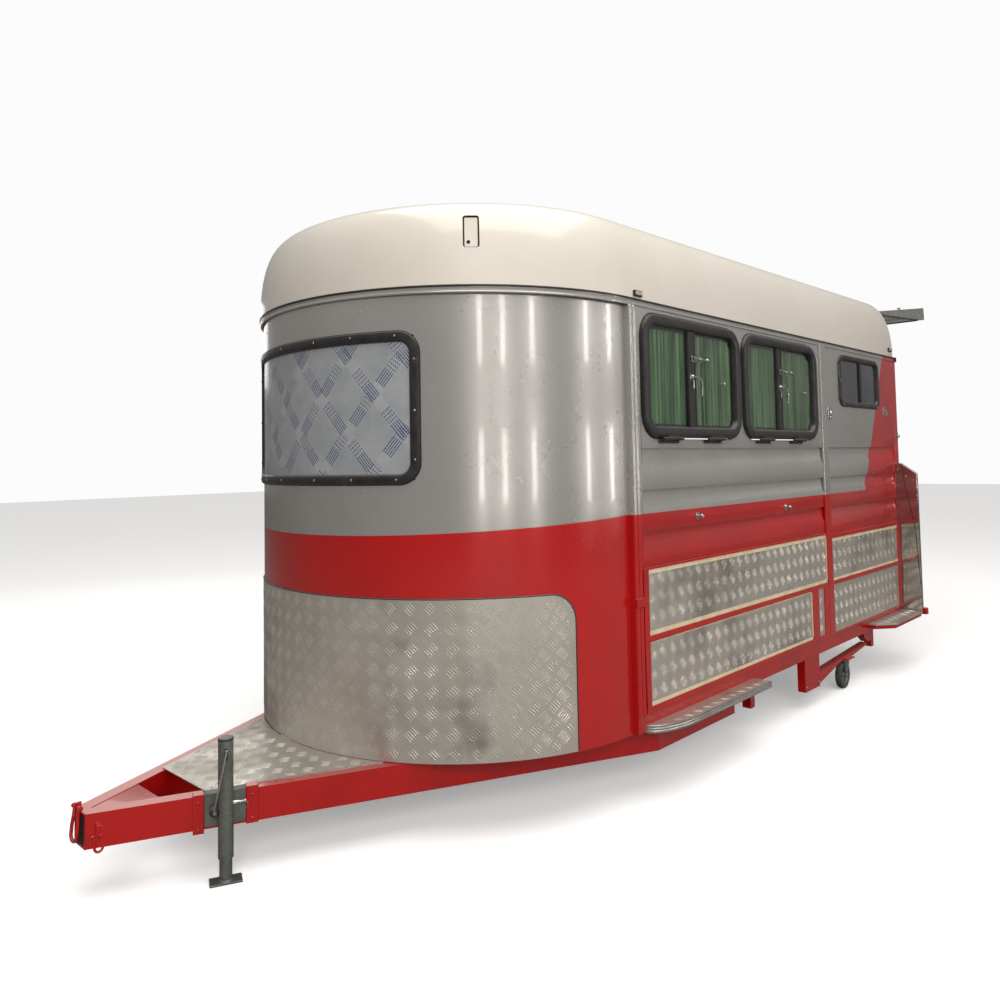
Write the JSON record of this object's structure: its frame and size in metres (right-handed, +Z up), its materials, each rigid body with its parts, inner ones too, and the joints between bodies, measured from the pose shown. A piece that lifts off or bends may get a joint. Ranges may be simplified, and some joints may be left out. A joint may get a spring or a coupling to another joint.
{
  "type": "slant-load horse trailer",
  "caption": "Enclosed horse trailer with a half-round nose, moulded roof, drop-down windows, raised tail door, rear ramp, tread-plate guards and an A-frame drawbar on a swing-up jack",
  "frame": {"origin": "on the ground under the middle of the overall length, jack foot and casters at z = 0", "axes": "+Z up, the drawbar points to -Y, the trailer's left side is +X"},
  "size_m": [2.548, 6.9121, 2.8935],
  "materials": {
    "red_enamel": "gloss red enamel",
    "silver_enamel": "silver metallic paint",
    "cream_gelcoat": "cream-white gelcoat",
    "tread_plate": "five-bar tread plate",
    "black_rubber": "matt black",
    "tinted_glass": "tinted pane",
    "galvanised_steel": "zinc grey",
    "floor_board": "resin-faced board",
    "caster_rubber": "dark grey",
    "aluminium_strip": "satin"
  },
  "bodies": {
    "trailer": {"drawbar_deck": "tread_plate", "drawbar_frame": "red_enamel", "floor": "floor_board", "gutter_trim": "aluminium_strip", "jack_clamp": "galvanised_steel", "left_caster_beam": "red_enamel", "left_corner_trim": "red_enamel", "left_front_kick_board": "red_enamel", "left_front_step": "tread_plate", "left_front_wall": "silver_enamel", "left_rear_kick_board": "red_enamel", "left_rear_wall": "silver_enamel", "left_rear_window": "black_rubber", "left_rear_wing": "tread_plate", "nose_wall": "silver_enamel", "nose_window_frame": "black_rubber", "nose_window_pane": "tinted_glass", "rear_portal": "red_enamel", "right_caster_beam": "red_enamel", "right_corner_trim": "red_enamel", "right_front_kick_board": "red_enamel", "right_front_step": "tread_plate", "right_front_wall": "silver_enamel", "right_rear_kick_board": "red_enamel", "right_rear_wall": "silver_enamel", "right_rear_window": "black_rubber", "right_rear_wing": "tread_plate", "roof_cap": "cream_gelcoat", "stone_guard": "tread_plate", "underframe": "red_enamel"},
    "tail_door": {"tail_door": "cream_gelcoat"},
    "rear_ramp": {"rear_ramp": "red_enamel"},
    "groom_door": {"groom_door": "silver_enamel"},
    "left_drop_window_front": {"left_drop_window_front": "black_rubber"},
    "left_drop_window_rear": {"left_drop_window_rear": "black_rubber"},
    "right_drop_window": {"right_drop_window": "black_rubber"},
    "jack_tube": {"jack_tube": "galvanised_steel"},
    "jack_leg": {"jack_leg": "galvanised_steel"},
    "left_strut_tube": {"left_strut_tube": "black_rubber"},
    "left_strut_rod": {"left_strut_rod": "aluminium_strip"},
    "left_caster_fork": {"left_caster_fork": "galvanised_steel"},
    "left_caster_wheel": {"left_caster_wheel": "caster_rubber"},
    "right_strut_tube": {"right_strut_tube": "black_rubber"},
    "right_strut_rod": {"right_strut_rod": "aluminium_strip"},
    "right_caster_fork": {"right_caster_fork": "galvanised_steel"},
    "right_caster_wheel": {"right_caster_wheel": "caster_rubber"}
  },
  "joints": [
    {"name": "tail_door_hinge", "type": "hinge", "parent": "trailer", "child": "tail_door", "pos_m": [0, 2.265, 2.705], "axis": [-1, 0, 0], "range_deg": [0, 94]},
    {"name": "left_strut_pivot", "type": "hinge", "parent": "trailer", "child": "left_strut_tube", "pos_m": [0.914, 2.2, 1.85], "axis": [1, 0, 0], "range_deg": [0, 23.16]},
    {"name": "left_strut_slide", "type": "slide", "parent": "left_strut_tube", "child": "left_strut_rod", "axis": [0, -0.3933, -0.9194], "range_m": [0, 0.31507]},
    {"name": "right_strut_pivot", "type": "hinge", "parent": "trailer", "child": "right_strut_tube", "pos_m": [-0.914, 2.2, 1.85], "axis": [1, 0, 0], "range_deg": [0, 23.16]},
    {"name": "right_strut_slide", "type": "slide", "parent": "right_strut_tube", "child": "right_strut_rod", "axis": [0, -0.3933, -0.9194], "range_m": [0, 0.31507]},
    {"name": "rear_ramp_hinge", "type": "hinge", "parent": "trailer", "child": "rear_ramp", "pos_m": [0, 2.285, 0.345], "axis": [-1, 0, 0], "range_deg": [0, 105]},
    {"name": "left_drop_window_front_hinge", "type": "hinge", "parent": "trailer", "child": "left_drop_window_front", "pos_m": [1.13, -0.8585, 1.672], "axis": [0, 1, 0], "range_deg": [0, 172]},
    {"name": "left_drop_window_rear_hinge", "type": "hinge", "parent": "trailer", "child": "left_drop_window_rear", "pos_m": [1.13, 0.171, 1.672], "axis": [0, 1, 0], "range_deg": [0, 172]},
    {"name": "right_drop_window_hinge", "type": "hinge", "parent": "trailer", "child": "right_drop_window", "pos_m": [-1.13, 0.171, 1.672], "axis": [0, -1, 0], "range_deg": [0, 172]},
    {"name": "groom_door_hinge", "type": "hinge", "parent": "trailer", "child": "groom_door", "pos_m": [-1.114, -1.332, 1.35], "axis": [0, 0, 1], "range_deg": [0, 170]},
    {"name": "jack_swing", "type": "hinge", "parent": "trailer", "child": "jack_tube", "pos_m": [0.28873, -3.02793, 0.255], "axis": [0.9085, -0.4179, 0], "range_deg": [0, 90]},
    {"name": "jack_leg_slide", "type": "slide", "parent": "jack_tube", "child": "jack_leg", "axis": [0, 0, 1], "range_m": [0, 0.075]},
    {"name": "left_caster_swivel", "type": "hinge", "parent": "trailer", "child": "left_caster_fork", "pos_m": [1.06, 1.09, 0.19], "axis": [0, 0, 1], "continuous": true},
    {"name": "left_caster_spin", "type": "hinge", "parent": "left_caster_fork", "child": "left_caster_wheel", "pos_m": [1.06, 1.05, 0.09], "axis": [1, 0, 0], "continuous": true},
    {"name": "right_caster_swivel", "type": "hinge", "parent": "trailer", "child": "right_caster_fork", "pos_m": [-1.06, 1.09, 0.19], "axis": [0, 0, 1], "continuous": true},
    {"name": "right_caster_spin", "type": "hinge", "parent": "right_caster_fork", "child": "right_caster_wheel", "pos_m": [-1.06, 1.05, 0.09], "axis": [1, 0, 0], "continuous": true}
  ],
  "couplings": [
    {"joint": "left_strut_pivot", "follows": "tail_door_hinge", "ratio": 0.24109},
    {"joint": "left_strut_slide", "follows": "tail_door_hinge", "m_per_rad": 0.1896},
    {"joint": "right_strut_pivot", "follows": "tail_door_hinge", "ratio": 0.24109},
    {"joint": "right_strut_slide", "follows": "tail_door_hinge", "m_per_rad": 0.1896}
  ]
}
